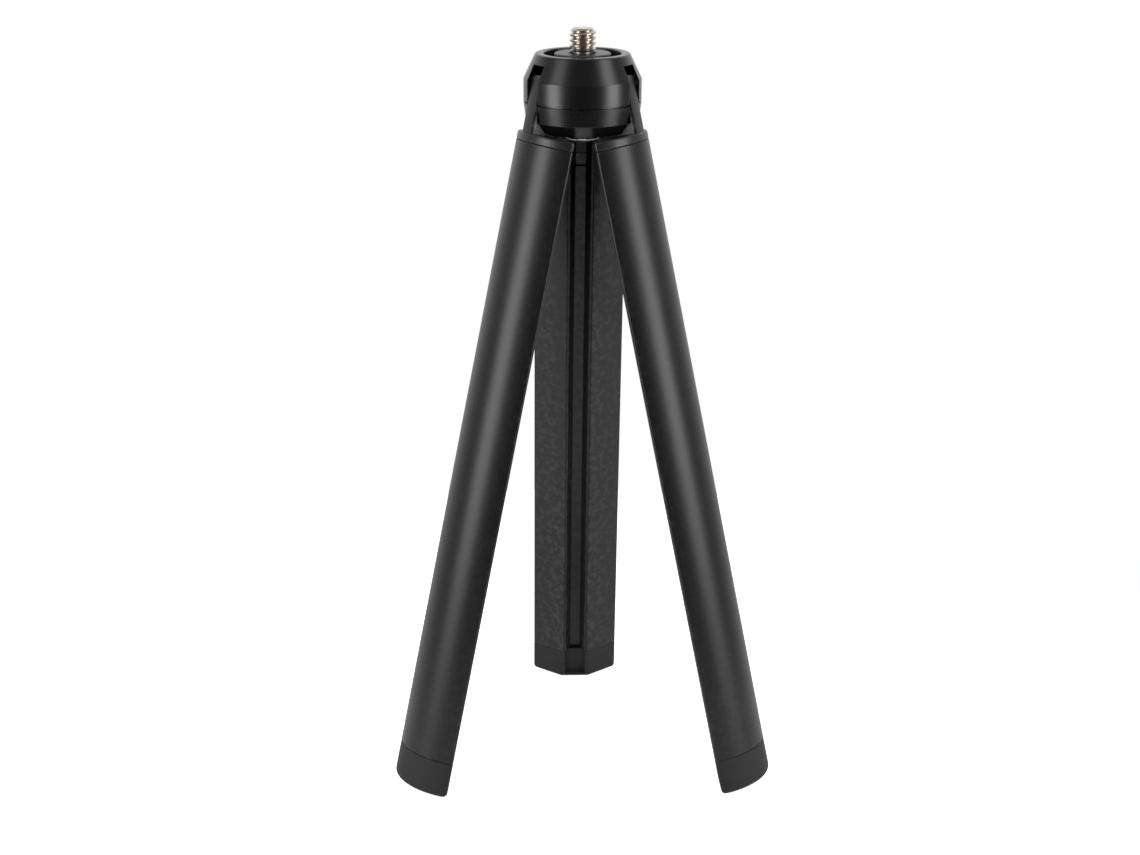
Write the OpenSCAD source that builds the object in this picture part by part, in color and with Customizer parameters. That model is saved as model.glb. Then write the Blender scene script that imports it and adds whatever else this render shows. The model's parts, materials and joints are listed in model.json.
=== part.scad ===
// Tabletop tripod: a round two-shell head with a camera stud, and three hinged legs
// whose 120-degree sections close into one round handle.
// The origin is on the ground, on the tripod's axis, with the legs open. The hinge pins lie
// in the head's split plane. Each leg is drawn folded, then turned out about its own pin.

/* [Head] */
// Outer diameter of the head
head_d = 28; // [27:0.5:34]
// Height of the upper shell above the split plane
upper_h = 11.2; // [9.3:0.1:14]
// Height of the upper shell's straight wall
belt_h = 5.3; // [3.5:0.1:6.5]
// Diameter of the upper shell at its rim
rim_d = 23; // [21.5:0.5:25]
// Width of the chamfer round the rim
rim_edge = 0.7; // [0.3:0.1:0.9]
// Height of the lower shell's wall below the split plane
lower_h = 4.5; // [3.6:0.1:5.4]
// Diameter of the lower shell at the foot of its wall
lower_d = 26.8; // [25:0.1:27]
// Chamfer at the foot of the lower shell's wall
lower_edge = 0.4; // [0.2:0.1:0.5]
// Depth of the sloped underside below the split plane
belly_h = 7.1; // [6:0.1:8]
// Diameter of the sloped underside where it leaves the wall
belly_top_d = 25.8; // [20:0.1:25.8]
// Diameter of the flat under the head
belly_d = 22; // [14:0.1:22.4]
// Chamfer on each shell that makes the split line
split_edge = 0.15; // [0.1:0.05:0.3]
// Height of the lower shell's locating spigot
spigot_h = 1.5; // [1:0.1:1.8]

/* [Camera seat and stud] */
// Diameter of the well in the top of the head
well_d = 18.4; // [16:0.1:19]
// Depth of the well, and thickness of the seat
well_h = 2; // [1.6:0.1:2.6]
// Diameter of the camera seat
seat_d = 13.5; // [11.5:0.1:15]
// Chamfer round the seat's top edge
seat_edge = 0.45; // [0.2:0.05:0.6]
// Major diameter of the camera thread
stud_d = 6.3; // [6:0.05:6.35]
// Height of the stud above the seat
stud_h = 5.8; // [4.5:0.1:7]
// Height of the chamfer at the stud's tip
stud_tip_h = 0.8; // [0.5:0.1:1]
// Diameter of the flat at the stud's tip
stud_tip_d = 4.5; // [4:0.1:5]
// Height of the stud's neck above the seat
stud_neck_h = 0.5; // [0.3:0.1:0.8]
// Diameter of the stud's neck
stud_neck_d = 5; // [4.6:0.1:5.4]
// Width across flats of the stud's hexagonal collar
stud_hex = 9; // [8.5:0.1:9.2]
// Thickness of the stud's collar
stud_collar_h = 1.6; // [1.2:0.1:2]
// Diameter of the stud's shank inside the head
shank_d = 7; // [6.4:0.1:7.4]
// Depth of the tapped hole in the shank
tapped_h = 5; // [3.5:0.1:5.5]

/* [Retaining screw] */
// Diameter of the retaining screw
screw_d = 4; // [3:0.1:4.4]
// Diameter of its domed head
dome_d = 8.2; // [7:0.1:9]
// Height of its domed head
dome_h = 2.4; // [1.8:0.1:2.6]
// Height of the head's crown, below its straight side
crown_h = 1.2; // [0.6:0.1:1.6]
// Width across flats of its socket
socket_hex = 2.5; // [2:0.1:3]
// Depth of its socket
socket_h = 1.2; // [0.8:0.1:1.4]
// Diameter of the washer under it
washer_d = 7.4; // [6.5:0.1:8]
// Thickness of the washer under it
washer_t = 0.5; // [0.3:0.1:0.8]

/* [Hinges] */
// Distance of each hinge pin from the tripod's axis
hinge_r = 9.5; // [9.3:0.05:9.8]
// Angle of a leg from folded to open
open_angle = 13; // [8:0.5:15]
// Diameter of a hinge pin
pin_d = 3; // [2:0.1:3.2]
// Length of a hinge pin
pin_l = 9.6; // [8.4:0.1:11]
// Radial clearance of a hinge bore round its pin
pin_clearance = 0.05; // [0.02:0.01:0.1]
// Radius of the hub that the slots stop at
hub_r = 5.8; // [5.7:0.05:6]
// Width of a leg's tongue
tongue_w = 4.2; // [3.8:0.1:5]
// Clearance between a tongue and each side of its slot
tongue_clearance = 0.23; // [0.15:0.01:0.4]
// Thickness of the tongue's outer flange
flange_t = 0.9; // [0.6:0.1:1]
// Thickness of the tongue's web
web_t = 3.2; // [2.6:0.1:3.4]
// Distance from the split plane to the tongue's top, folded
tongue_h = 6; // [4:0.1:6.2]
// Distance from the rim down to a slot's top edge
slot_drop = 2.2; // [1.8:0.1:2.8]
// Wall left between the slots and the well
well_wall = 0.8; // [0.5:0.1:1.2]
// Outer diameter of a friction washer
friction_d = 6; // [5:0.1:6.2]
// Gap between a friction washer and the web
friction_gap = 0.08; // [0.04:0.01:0.15]

/* [Legs] */
// Radius of a leg's round outside
leg_r = 13.2; // [12.4:0.1:13.4]
// Radius of a leg's outer corners
corner_r = 0.65; // [0.4:0.05:1]
// Gap between the head and a folded leg
head_gap = 0.4; // [0.3:0.05:0.8]
// Height of the collar on top of a leg
collar_h = 2.2; // [2:0.1:4]
// Length of a leg's extruded tube
tube_l = 151.7; // [100:0.1:220]
// Wall thickness of a tube
wall = 1.2; // [0.9:0.1:1.5]
// Width of the channel's mouth
channel_w = 6.24; // [5.4:0.02:7]
// Width of the channel below its ledges
throat_w = 5.1; // [4.4:0.1:5.2]
// Width of the channel's floor
floor_w = 2.6; // [2.4:0.1:3.4]
// Depth of the channel's ledges below its mouth
ledge_h = 0.6; // [0.4:0.1:1]
// Depth of the channel's floor below its mouth
channel_h = 2.8; // [2.6:0.1:4]
// Length of the yoke's plug inside the tube
yoke_plug_l = 13; // [11:0.5:20]
// Clearance round a plug inside a tube
plug_clearance = 0.1; // [0.05:0.01:0.2]
// Width of the yoke's snap tab
tab_w = 2.5; // [2:0.1:2.6]
// Height of the yoke's snap tab
tab_h = 3; // [2.4:0.1:3.6]
// Distance from the tube's top to the tab's window
tab_drop = 4.1; // [3.5:0.1:5]
// Gap round the tab in its window
tab_gap = 0.3; // [0.2:0.05:0.45]

/* [Feet] */
// Height of a foot below its tube
foot_h = 9; // [7:0.1:14]
// Length of a foot's plug inside the tube
foot_plug_l = 8; // [5:0.5:12]
// Chamfer round the bottom of a foot
foot_edge = 1.6; // [0.8:0.1:2]
// Width of the flat on a foot's inner edge
foot_flat_w = 7.6; // [6.6:0.1:9]
// Width of the groove in a foot
groove_w = 5.6; // [4.8:0.1:6]
// Depth of the groove in a foot
groove_h = 1.4; // [0.8:0.1:2]
// Height of the web that closes the groove's lower end
groove_stop = 1.4; // [1:0.1:2]

/* [Hidden] */
$fn = 96;
bite = 1;                       // how far a cutter runs past the face it cuts
seat_gap = 0.12;                // radial gap between the seat and the stud
slide_gap = 0.05;               // radial gap between pieces that are assembled by hand
tongue_lift = 1.4;              // room above a folded tongue, which rises as it opens
stop_gap = 0.1;                 // what is left between a tongue and the hub at its stop
least_corner = 0.3;             // smallest corner of an inset section
leg_half_angle = 60;            // half of a leg's 120-degree section
LEFT = 210;                     // azimuth of each leg, from +X
RIGHT = 330;
REAR = 90;
azimuths = [LEFT, RIGHT, REAR];

head_r = head_d / 2;
leg_offset = head_r - leg_r;    // a folded leg is flush with the head at its middle
well_floor = upper_h - well_h;
collar_floor = well_floor - stud_collar_h;
slot_top = upper_h - slot_drop;
slot_roof = well_floor - well_wall;
slot_w = tongue_w + 2 * tongue_clearance;
tongue_top = min(tongue_h, slot_roof - tongue_lift);
shank_bore = shank_d + 2 * slide_gap;

collar_top = -(belly_h + head_gap);
tube_top = collar_top - collar_h;
tube_end = tube_top - tube_l;
foot_end = tube_end - foot_h;
pocket_r = dome_d / 2 + 0.7;    // room for the domed screw between the folded collars
pocket_floor = -(belly_h + washer_t + dome_h + 0.25);

// Distance from the tripod's axis to a leg's flat faces at the half width w
function face_x(w) = leg_offset + w / tan(leg_half_angle);
mouth_x = face_x(channel_w / 2);
ledge_x = mouth_x + ledge_h;
floor_x = mouth_x + channel_h;
apex_x = face_x(foot_flat_w / 2);

// An open leg stands on the inner edge of its sole
hinge_z = -foot_end * cos(open_angle) + (hinge_r - apex_x - foot_edge) * sin(open_angle);

// Puts a piece drawn about the split plane at the head's height
module at_head() {
    translate([0, 0, hinge_z]) children();
}

// Turns a piece drawn along +X to a leg's azimuth
module at_azimuth(azimuth) {
    at_head() rotate([0, 0, azimuth]) children();
}

// Opens a folded leg drawn along +X about its pin, at its azimuth
module open_leg(azimuth) {
    at_azimuth(azimuth)
        translate([hinge_r, 0, 0])
            rotate([0, -open_angle, 0])
                translate([-hinge_r, 0, 0])
                    children();
}

// A cylinder along Y through the hinge's centre
module hinge_cylinder(d, l) {
    translate([hinge_r, 0, 0])
        rotate([90, 0, 0])
            cylinder(d = d, h = l, center = true);
}

// A tapered or straight rod on the tripod's axis, between two heights
module rod(z0, z1, d0, d1) {
    translate([0, 0, z0]) cylinder(d1 = d0, d2 = d1, h = z1 - z0);
}

// A hexagonal prism on the tripod's axis, by its width across flats
module hexagon(z0, z1, flats) {
    translate([0, 0, z0])
        cylinder(d = flats / cos(30), h = z1 - z0, $fn = 6);
}

// ---- Head ----

// The three slots for the tongues, and the beds for their pins
module leg_slots() {
    for (azimuth = azimuths) {
        rotate([0, 0, azimuth]) {
            rotate([90, 0, 0])
                linear_extrude(slot_w, center = true)
                    polygon([
                        [hub_r, -belly_h - bite],
                        [head_r + bite, -belly_h - bite],
                        [head_r + bite, slot_top],
                        [well_d / 2 + well_wall, slot_top],
                        [well_d / 2 + well_wall, slot_roof],
                        [hub_r, slot_roof]
                    ]);
            hinge_cylinder(pin_d + 2 * pin_clearance, pin_l + 2 * slide_gap);
        }
    }
}

module head_upper_shell() {
    color([0.07, 0.07, 0.07]) at_head() difference() {
        rotate_extrude()
            polygon([
                [shank_bore / 2, 0],
                [head_r - split_edge, 0],
                [head_r, split_edge],
                [head_r, belt_h],
                [rim_d / 2, upper_h - rim_edge],
                [rim_d / 2 - rim_edge, upper_h],
                [well_d / 2 + rim_edge / 2, upper_h],
                [well_d / 2, upper_h - rim_edge / 2],
                [well_d / 2, well_floor],
                [shank_bore / 2, well_floor]
            ]);
        leg_slots();
        hexagon(collar_floor, well_floor + bite, stud_hex + 2 * slide_gap);
    }
}

module head_lower_shell() {
    color([0.06, 0.06, 0.06]) at_head() difference() {
        rotate_extrude()
            polygon([
                [screw_d / 2 + 2 * slide_gap, spigot_h],
                [shank_d / 2, spigot_h],
                [shank_d / 2, 0],
                [head_r - split_edge, 0],
                [head_r, -split_edge],
                [lower_d / 2, -lower_h + lower_edge],
                [lower_d / 2 - lower_edge, -lower_h],
                [belly_top_d / 2, -lower_h],
                [belly_d / 2, -belly_h],
                [screw_d / 2 + 2 * slide_gap, -belly_h]
            ]);
        leg_slots();
    }
}

module camera_seat() {
    color([0.13, 0.13, 0.14]) at_head() rotate_extrude()
        polygon([
            [stud_d / 2 + seat_gap, well_floor],
            [seat_d / 2, well_floor],
            [seat_d / 2, upper_h - seat_edge],
            [seat_d / 2 - seat_edge, upper_h],
            [stud_d / 2 + seat_gap, upper_h]
        ]);
}

module camera_stud() {
    shank_end = spigot_h + 2 * slide_gap;
    neck_top = upper_h + stud_neck_h;
    stud_top = upper_h + stud_h;
    color([0.72, 0.68, 0.63]) at_head() difference() {
        union() {
            rod(shank_end, collar_floor, shank_d, shank_d);
            hexagon(collar_floor, well_floor, stud_hex);
            rod(well_floor, neck_top, stud_neck_d, stud_neck_d);
            rod(neck_top, stud_top - stud_tip_h, stud_d, stud_d);
            rod(stud_top - stud_tip_h, stud_top, stud_d, stud_tip_d);
        }
        rod(shank_end - bite, shank_end + tapped_h, screw_d, screw_d);
    }
}

module retaining_screw() {
    seat_z = -belly_h - washer_t;
    // Radius of the sphere whose cap is the crown
    dome_r = (pow(dome_d / 2, 2) + crown_h * crown_h) / (2 * crown_h);
    color([0.8, 0.78, 0.75]) at_head() difference() {
        union() {
            // The thread fills the stud's tapped hole to a little short of its end
            rod(seat_z - slide_gap, spigot_h + tapped_h - 0.5, screw_d - slide_gap, screw_d - slide_gap);
            intersection() {
                translate([0, 0, seat_z - dome_h + dome_r]) sphere(r = dome_r);
                rod(seat_z - dome_h - bite, seat_z, dome_d, dome_d);
            }
        }
        hexagon(seat_z - dome_h - bite, seat_z - dome_h + socket_h, socket_hex);
    }
}

module retaining_washer() {
    color([0.7, 0.7, 0.7]) at_head() difference() {
        rod(-belly_h - washer_t, -belly_h, washer_d, washer_d);
        rod(-belly_h - washer_t - bite, -belly_h + bite, screw_d + 4 * slide_gap, screw_d + 4 * slide_gap);
    }
}

// ---- Hinges ----

module hinge_pin(azimuth) {
    color([0.75, 0.75, 0.76]) at_azimuth(azimuth) hinge_cylinder(pin_d, pin_l);
}

// One washer against each side of the slot, with the tongue's web between them
module friction_washers(azimuth) {
    friction_t = (slot_w - web_t) / 2 - friction_gap;
    color([0.85, 0.85, 0.8]) at_azimuth(azimuth) difference() {
        for (side = [-1, 1]) {
            translate([0, side * (slot_w - friction_t) / 2, 0])
                hinge_cylinder(friction_d, friction_t);
        }
        hinge_cylinder(pin_d + 2 * pin_clearance, slot_w + bite);
    }
}

// ---- Legs, drawn folded and along +X ----

// A 120-degree sector with rounded outer corners, pulled in all round by inset
module sector(inset) {
    radius = leg_r - inset;
    corner = max(corner_r - inset, least_corner);
    reach = radius - corner;
    spread = leg_half_angle - asin((corner + inset) / reach);
    tip = leg_offset + inset / sin(leg_half_angle);
    // Centre of the rounded corner, and where its circle touches the flat face
    cx = leg_offset + reach * cos(spread);
    cy = reach * sin(spread);
    along = (cx - tip) * cos(leg_half_angle) + cy * sin(leg_half_angle);
    tx = tip + along * cos(leg_half_angle);
    ty = along * sin(leg_half_angle);
    // A point past the arc, in line with the arc's centre and the corner's
    px = leg_offset + head_d * cos(spread);
    py = head_d * sin(spread);
    intersection() {
        translate([leg_offset, 0]) circle(r = radius);
        polygon([
            [tip, 0], [tx, ty], [cx, cy], [px, py], [head_d * 2, 0],
            [px, -py], [cx, -cy], [tx, -ty]
        ]);
    }
    for (side = [-1, 1]) {
        translate([cx, side * cy]) circle(r = corner);
    }
}

// Outline of the channel along a leg's inner edge, grown all round by grow
module channel(grow) {
    mouth = channel_w / 2 + grow;
    throat = throat_w / 2 + grow;
    half_floor = floor_w / 2 + grow;
    polygon([
        [-bite, -mouth], [ledge_x + grow, -mouth], [ledge_x + grow, -throat], [floor_x + grow, -half_floor],
        [floor_x + grow, half_floor], [ledge_x + grow, throat], [ledge_x + grow, mouth], [-bite, mouth]
    ]);
}

module leg_outline() {
    difference() {
        sector(0);
        channel(0);
    }
}

// The hollow of a tube, or with a clearance the plug that goes into it
module cavity(clearance) {
    difference() {
        sector(wall + clearance);
        channel(wall + clearance);
    }
}

// Room between the folded collars for the domed screw
module screw_pocket() {
    rod(pocket_floor, collar_top + bite, 2 * pocket_r, 2 * pocket_r);
}

// Block in the channel's floor, grown by gap: the yoke's snap tab, or its window
module tab_block(x0, x1, gap) {
    translate([x0, -tab_w / 2 - gap, tube_top - tab_drop - tab_h - gap])
        cube([x1 - x0, tab_w + 2 * gap, tab_h + 2 * gap]);
}

module leg_tube(azimuth) {
    color([0.14, 0.14, 0.15]) open_leg(azimuth) difference() {
        translate([0, 0, tube_end]) linear_extrude(tube_l) difference() {
            leg_outline();
            cavity(0);
        }
        tab_block(floor_x - bite, floor_x + wall + bite, tab_gap);
        screw_pocket();
    }
}

// The outer surface of the head, which a folded tongue is flush with
module head_envelope() {
    rod(collar_top, belt_h, head_d, head_d);
    rod(belt_h, upper_h, head_d, rim_d);
}

// The tongue's flange, a strip of the head's round outside
module tongue_flange() {
    intersection() {
        head_envelope();
        difference() {
            translate([0, -tongue_w / 2, collar_top])
                cube([head_d, tongue_w, tongue_top - collar_top]);
            rod(collar_top - bite, upper_h, head_d - 2 * flange_t, head_d - 2 * flange_t);
        }
    }
}

// The tongue's web. Its top inner corner meets the hub when the leg is fully open.
module tongue_web() {
    web_in = hub_r + stop_gap * 2;
    web_out = head_r - flange_t / 2;
    stop_in = hinge_r
        + (tongue_top * sin(open_angle) - (hinge_r - hub_r) + stop_gap) / cos(open_angle);
    rotate([90, 0, 0])
        linear_extrude(web_t, center = true)
            polygon([
                [web_in, tube_top],
                [web_out, tube_top],
                [web_out, tongue_top - flange_t],
                [web_out - flange_t, tongue_top],
                [stop_in, tongue_top],
                [stop_in, pin_d],
                [web_in, 0]
            ]);
}

module leg_yoke(azimuth) {
    tab_in = floor_x + tab_gap;
    plug_in = floor_x + wall + plug_clearance;
    color([0.12, 0.12, 0.12]) open_leg(azimuth) difference() {
        union() {
            tongue_flange();
            tongue_web();
            translate([0, 0, tube_top]) linear_extrude(collar_h) leg_outline();
            translate([0, 0, tube_top - yoke_plug_l])
                linear_extrude(yoke_plug_l + bite) cavity(plug_clearance);
            tab_block(tab_in, plug_in + bite, 0);
        }
        screw_pocket();
        hinge_cylinder(pin_d + 2 * pin_clearance, head_d);
    }
}

// ---- Feet ----

// Cuts the chamfer along the sole's edge at x, under a flat face that points to the angle turn
module sole_cutter(x, turn) {
    translate([x, 0, foot_end])
        rotate([0, 0, turn])
            rotate([0, 45, 0])
                cube([foot_edge * sqrt(2), 2 * head_d, foot_edge * sqrt(2)], center = true);
}

module foot(azimuth) {
    face_turn = 90 + leg_half_angle;
    color([0.17, 0.17, 0.17]) open_leg(azimuth) {
        difference() {
            intersection() {
                translate([0, 0, foot_end]) linear_extrude(foot_h) intersection() {
                    sector(0);
                    translate([apex_x, -head_r]) square([head_d, head_d]);
                }
                translate([leg_offset, 0, 0])
                    rod(foot_end, foot_end + foot_h + head_d, 2 * (leg_r - foot_edge),
                        2 * (leg_r - foot_edge + foot_h + head_d));
            }
            for (side = [-1, 1]) {
                sole_cutter(leg_offset, side * face_turn);
            }
            sole_cutter(apex_x, 180);
            translate([0, -groove_w / 2, foot_end + groove_stop])
                cube([apex_x + groove_h, groove_w, foot_h]);
        }
        translate([0, 0, tube_end])
            linear_extrude(foot_plug_l) cavity(plug_clearance);
    }
}

head_upper_shell();
head_lower_shell();
camera_seat();
camera_stud();
retaining_screw();
retaining_washer();
hinge_pin(LEFT);  // hinge_pin_left
hinge_pin(RIGHT);  // hinge_pin_right
hinge_pin(REAR);  // hinge_pin_rear
friction_washers(LEFT);  // friction_washers_left
friction_washers(RIGHT);  // friction_washers_right
friction_washers(REAR);  // friction_washers_rear
leg_yoke(LEFT);  // leg_yoke_left
leg_yoke(RIGHT);  // leg_yoke_right
leg_yoke(REAR);  // leg_yoke_rear
leg_tube(LEFT);  // leg_tube_left
leg_tube(RIGHT);  // leg_tube_right
leg_tube(REAR);  // leg_tube_rear
foot(LEFT);  // foot_left
foot(RIGHT);  // foot_right
foot(REAR);  // foot_rear
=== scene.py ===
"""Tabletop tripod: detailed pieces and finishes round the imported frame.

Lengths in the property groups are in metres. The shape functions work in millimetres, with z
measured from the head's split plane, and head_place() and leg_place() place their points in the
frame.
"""

import json
import math

import bmesh
import bpy
from bpy.props import FloatProperty, FloatVectorProperty, IntProperty, PointerProperty
from mathutils import Matrix, Vector


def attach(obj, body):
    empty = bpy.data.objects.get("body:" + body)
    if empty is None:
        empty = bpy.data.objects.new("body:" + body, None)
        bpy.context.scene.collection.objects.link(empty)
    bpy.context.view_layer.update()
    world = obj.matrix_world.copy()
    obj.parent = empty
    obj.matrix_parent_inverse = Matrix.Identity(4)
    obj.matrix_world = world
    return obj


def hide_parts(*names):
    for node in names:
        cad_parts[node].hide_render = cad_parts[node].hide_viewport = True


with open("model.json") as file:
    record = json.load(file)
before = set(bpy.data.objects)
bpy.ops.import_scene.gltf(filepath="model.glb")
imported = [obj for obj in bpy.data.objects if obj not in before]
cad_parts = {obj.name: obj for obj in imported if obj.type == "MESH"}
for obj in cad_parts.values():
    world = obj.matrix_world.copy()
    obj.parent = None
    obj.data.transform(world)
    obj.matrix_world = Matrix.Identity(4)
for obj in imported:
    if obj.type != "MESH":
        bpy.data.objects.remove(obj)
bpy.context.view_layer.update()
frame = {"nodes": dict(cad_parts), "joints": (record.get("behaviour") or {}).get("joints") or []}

bl_info = {
    "name": "Tabletop Tripod",
    "version": (1, 0, 0),
    "blender": (4, 5, 0),
    "location": "View3D > Sidebar > Tripod",
    "description": "Builds a tabletop tripod with folding legs around its CAD frame",
    "category": "Object",
}

MM = 0.001
SIDES = ("left", "right", "rear")
JOINTS = {side: next(j for j in frame["joints"] if j["child"] == "leg_" + side) for side in SIDES}
HINGE_Z = JOINTS["rear"]["pos_m"][2] / MM
HINGE_R = math.hypot(*JOINTS["rear"]["pos_m"][:2]) / MM
OPEN_ANGLE = math.radians(max(JOINTS["rear"]["range_deg"]))
AZIMUTHS = {side: math.atan2(*JOINTS[side]["pos_m"][1::-1]) for side in SIDES}
FACE_ANGLE = math.radians(60)  # of a leg's flat faces, whose section is 120 degrees
FACE_SLOPE = math.tan(FACE_ANGLE)
FIT = 0.05  # clearance round a pin or a shank, in millimetres
NEAR = 1e-6  # distance within which two places are the same, in metres
WHITE = (1, 1, 1, 1)


# ---------------------------------------------------------------- sizes and colours


def size(name, text, default):
    """A length property, given in millimetres."""
    return FloatProperty(
        name=name, description=text, default=default * MM, min=0.0, unit="LENGTH", precision=5
    )


def colour(name, text, default):
    """A colour property."""
    return FloatVectorProperty(
        name=name, description=text, default=default, subtype="COLOR", size=3, min=0.0, max=1.0
    )


def share(name, text, default):
    """A property from 0 to 1."""
    return FloatProperty(
        name=name, description=text, default=default, min=0.0, max=1.0, subtype="FACTOR"
    )


class TripodHeadSizes(bpy.types.PropertyGroup):
    """Sizes of the round head"""

    diameter: size("Diameter", "Outer diameter of the head", 28)
    upper_height: size("Upper height", "Height of the upper shell above the split plane", 11.2)
    belt_height: size("Belt height", "Height of the upper shell's straight wall", 5.3)
    rim_diameter: size("Rim diameter", "Diameter of the upper shell at its rim", 23)
    rim_edge: size("Rim edge", "Width of the rounded edge round the rim", 0.7)
    lower_height: size("Lower height", "Height of the lower shell's wall", 4.5)
    lower_diameter: size("Lower diameter", "Diameter at the foot of the lower wall", 26.8)
    belly_height: size("Belly depth", "Depth of the underside below the split plane", 7.1)
    belly_top_diameter: size("Belly top", "Diameter of the underside at the wall", 25.8)
    belly_diameter: size("Belly flat", "Diameter of the flat under the head", 22)
    split_edge: size("Split edge", "Edge on each shell that makes the split line", 0.22)
    split_slit: size("Split slit", "Depth of the slit that shows at the split line", 0.6)
    well_diameter: size("Well diameter", "Diameter of the well in the top", 18.4)
    well_depth: size("Well depth", "Depth of the well, and thickness of the seat", 2)
    seat_diameter: size("Seat diameter", "Diameter of the camera seat", 13.5)
    seat_edge: size("Seat edge", "Radius of the seat's rounded edge", 0.45)
    slot_width: size("Slot width", "Width of the slots for the tongues", 4.66)
    slot_top: size("Slot top", "Height of a slot's top edge above the split plane", 9)
    slot_roof: size("Slot roof", "Height of a slot's roof under the well", 8.4)
    hub_radius: size("Hub radius", "Distance from the axis to the back of a slot", 5.8)
    slot_edge: size("Slot edge", "Radius of the rounded edge round a slot", 0.16)


class TripodMetalSizes(bpy.types.PropertyGroup):
    """Sizes of the camera stud and of the screw that holds it"""

    thread_diameter: size("Thread diameter", "Major diameter of the camera thread", 6.3)
    root_diameter: size("Root diameter", "Minor diameter of the camera thread", 4.95)
    pitch: size("Pitch", "Pitch of the camera thread", 1.27)
    stud_height: size("Stud height", "Height of the stud above the seat", 5.8)
    neck_height: size("Neck height", "Height of the plain neck above the seat", 0.35)
    neck_diameter: size("Neck diameter", "Diameter of the plain neck", 4.8)
    tip_height: size("Tip height", "Height of the chamfer at the tip", 0.8)
    tip_diameter: size("Tip diameter", "Diameter of the flat at the tip", 4.5)
    collar_flats: size("Collar", "Width across flats of the hexagonal collar", 9)
    collar_height: size("Collar height", "Thickness of the collar", 1.6)
    shank_diameter: size("Shank", "Diameter of the shank inside the head", 7)
    shank_end: size("Shank end", "Height of the shank's end above the split plane", 1.6)
    tapped_depth: size("Tapped depth", "Depth of the tapped hole in the shank", 5)
    screw_diameter: size("Screw", "Diameter of the retaining screw", 4)
    dome_diameter: size("Dome diameter", "Diameter of the screw's domed head", 8.2)
    dome_height: size("Dome height", "Height of the screw's domed head", 2.4)
    crown_height: size("Crown height", "Height of the crown below the head's straight side", 1.2)
    socket_flats: size("Socket", "Width across flats of the screw's socket", 2.5)
    socket_depth: size("Socket depth", "Depth of the screw's socket", 1.2)
    washer_thickness: size("Washer", "Thickness of the washer under the screw", 0.5)
    pin_diameter: size("Pin", "Diameter of a hinge pin", 3)
    pin_length: size("Pin length", "Length of a hinge pin", 9.6)
    thread_segments: IntProperty(
        name="Thread segments", description="Faces round one turn", default=96, min=24, max=240
    )


class TripodLegSizes(bpy.types.PropertyGroup):
    """Sizes of the legs, their yokes and their feet"""

    radius: size("Leg radius", "Radius of a leg's round outside", 13.2)
    corner: size("Corner", "Radius of a leg's outer corners", 0.65)
    wall: size("Wall", "Wall thickness of a tube", 1.2)
    channel_width: size("Channel width", "Width of the channel's mouth", 6.24)
    throat_width: size("Throat width", "Width of the channel below its ledges", 5.1)
    floor_width: size("Floor width", "Width of the channel's floor", 2.6)
    ledge_depth: size("Ledge depth", "Depth of the ledges below the mouth", 0.6)
    channel_depth: size("Channel depth", "Depth of the floor below the mouth", 2.8)
    head_gap: size("Head gap", "Gap between the head and a folded leg", 0.4)
    collar_height: size("Collar height", "Height of the collar on top of a leg", 2.2)
    collar_edge: size("Collar edge", "Radius of the collar's rounded top edge", 0.6)
    tube_length: size("Tube length", "Length of a leg's extruded tube", 151.7)
    tube_edge: size("Tube edge", "Radius of the tube's ends and of its channel's edges", 0.16)
    seam: size("Seam", "Gap that shows where a tube meets its yoke and its foot", 0.16)
    plug_length: size("Plug length", "Length of the yoke's plug inside the tube", 13)
    plug_gap: size("Plug gap", "Clearance round a plug inside a tube", 0.1)
    tongue_width: size("Tongue width", "Width of a leg's tongue", 4.2)
    tongue_height: size("Tongue height", "Height of a folded tongue over the split plane", 6)
    tongue_corner: size("Tongue corner", "Radius of the tongue's top corners", 0.75)
    flange: size("Flange", "Thickness of the tongue's outer flange", 0.9)
    web: size("Web", "Thickness of the tongue's web", 3.2)
    tab_width: size("Tab width", "Width of the yoke's snap tab", 2.5)
    tab_height: size("Tab height", "Height of the yoke's snap tab", 3)
    tab_drop: size("Tab drop", "Distance from the tube's top to the tab's window", 4.1)
    tab_gap: size("Tab gap", "Gap round the tab in its window", 0.3)
    foot_height: size("Foot height", "Height of a foot below its tube", 9)
    foot_plug: size("Foot plug", "Length of a foot's plug inside the tube", 8)
    foot_edge: size("Foot edge", "Radius of the rounded edge of a sole", 1.6)
    foot_flat: size("Foot flat", "Width of the flat on a foot's inner edge", 7.6)
    groove_width: size("Groove width", "Width of the groove in a foot", 5.6)
    groove_depth: size("Groove depth", "Depth of the groove in a foot", 1.4)
    groove_stop: size("Groove stop", "Height of the web that closes the groove", 1.4)


class TripodFinishes(bpy.types.PropertyGroup):
    """Colours of the finishes"""

    head: colour("Head", "Moulded plastic of the head", (0.0042, 0.0042, 0.0044))
    seat: colour("Seat", "Moulded plastic of the camera seat", (0.024, 0.0245, 0.026))
    yoke: colour("Yokes", "Moulded plastic of the yokes", (0.0080, 0.0080, 0.0083))
    tube: colour("Tubes", "Anodised aluminium of the legs", (0.0062, 0.0060, 0.0066))
    foot: colour("Feet", "Rubber of the feet", (0.0125, 0.0125, 0.0125))
    stud: colour("Stud", "Nickel plate of the camera stud", (0.50, 0.44, 0.385))
    screw: colour("Screw", "Nickel plate of the retaining screw", (0.74, 0.68, 0.62))
    steel: colour("Steel", "Ground steel of the pins and the washer", (0.56, 0.56, 0.57))
    nylon: colour("Nylon", "Natural nylon of the friction washers", (0.62, 0.62, 0.58))
    dust: colour("Dust", "Specks of dust", (0.20, 0.19, 0.18))
    # Scales the rubbed edges and the painted highlight along edges.
    wear: share("Wear", "How much the edges are worn", 0.25)


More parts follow.
